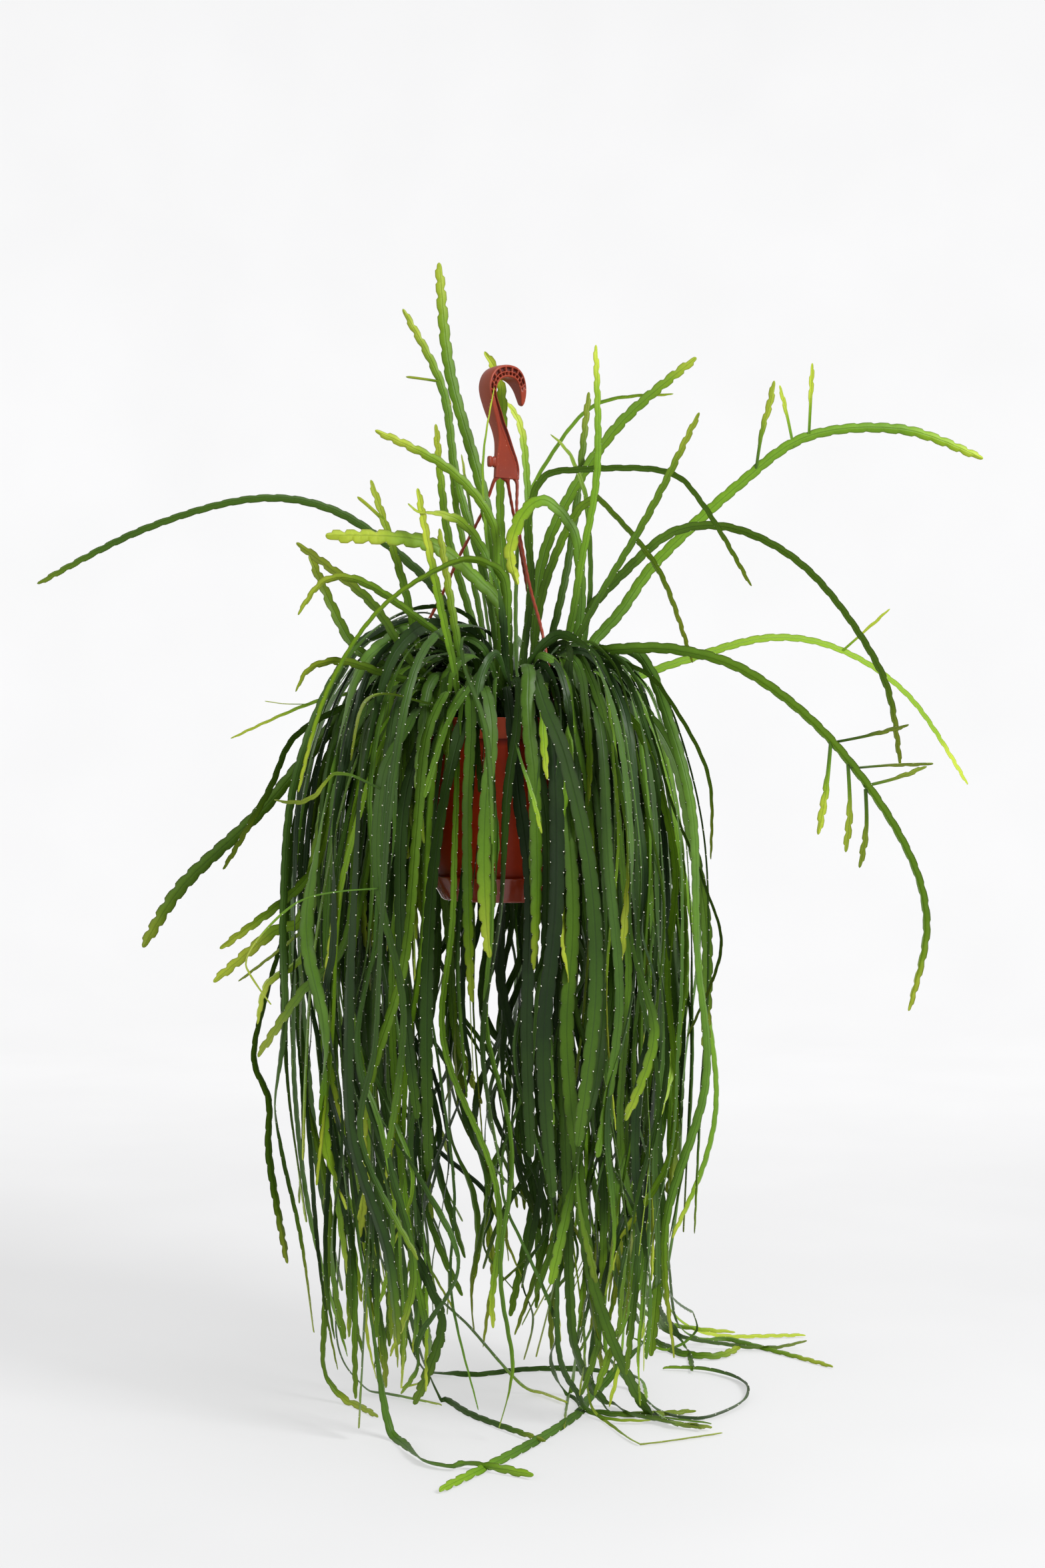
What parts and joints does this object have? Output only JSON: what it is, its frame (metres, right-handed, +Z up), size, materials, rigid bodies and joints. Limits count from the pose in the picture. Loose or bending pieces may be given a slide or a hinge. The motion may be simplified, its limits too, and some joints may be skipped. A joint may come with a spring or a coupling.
{
  "type": "potted lepismium bolivianum",
  "caption": "Hanging pot with clip-on saucer and hooked hanger, planted with a cactus of long strap-shaped, notched stems that arch up and trail to the ground below.",
  "frame": {"origin": "where the hook bears, at the top of the inside of its bend, above the pot's axis", "axes": "+X to the right, +Y to the back, +Z up along the pot's axis"},
  "size_m": [0.9498, 0.499, 1.1137],
  "materials": {
    "pot_plastic": "satin",
    "saucer_plastic": "gloss",
    "hanger_plastic": "satin",
    "potting_soil": "matte",
    "mature_stem": "satin",
    "middle_stem": "satin",
    "young_stem": "satin"
  },
  "bodies": {
    "root": {"hanger": "hanger_plastic", "pot": "pot_plastic", "saucer": "saucer_plastic", "soil": "potting_soil", "stems_arc_right": "young_stem", "stems_arch_left": "middle_stem", "stems_arch_right": "middle_stem", "stems_back_left": "middle_stem", "stems_behind_hook": "middle_stem", "stems_bend_left": "young_stem", "stems_bulge_right": "young_stem", "stems_curtain_01": "mature_stem", "stems_curtain_02": "mature_stem", "stems_curtain_03": "mature_stem", "stems_curtain_04": "mature_stem", "stems_curtain_05": "mature_stem", "stems_curtain_06": "mature_stem", "stems_curtain_07": "mature_stem", "stems_curtain_08": "mature_stem", "stems_curtain_09": "mature_stem", "stems_curtain_10": "mature_stem", "stems_curtain_11": "mature_stem", "stems_curtain_12": "mature_stem", "stems_curtain_13": "mature_stem", "stems_curtain_14": "mature_stem", "stems_curtain_15": "mature_stem", "stems_curtain_16": "mature_stem", "stems_curtain_17": "mature_stem", "stems_curtain_18": "mature_stem", "stems_curtain_19": "mature_stem", "stems_curtain_20": "mature_stem", "stems_curtain_21": "mature_stem", "stems_floor_a": "mature_stem", "stems_floor_b": "mature_stem", "stems_floor_c": "mature_stem", "stems_floor_d": "mature_stem", "stems_floor_e": "mature_stem", "stems_floor_f": "mature_stem", "stems_front_a": "mature_stem", "stems_front_b": "mature_stem", "stems_front_c": "mature_stem", "stems_front_d": "mature_stem", "stems_front_e": "mature_stem", "stems_front_f": "mature_stem", "stems_lean_right": "middle_stem", "stems_left_fan": "young_stem", "stems_left_low": "young_stem", "stems_lime_fork": "young_stem", "stems_lime_front": "young_stem", "stems_lime_left": "young_stem", "stems_lime_sweep": "young_stem", "stems_long_left": "middle_stem", "stems_long_right": "middle_stem", "stems_low_right": "middle_stem", "stems_outer_left": "middle_stem", "stems_pale_right": "young_stem", "stems_sweep_right": "middle_stem", "stems_tall_left": "middle_stem", "stems_tall_right": "middle_stem", "stems_tips_left": "young_stem"}
  },
  "joints": []
}
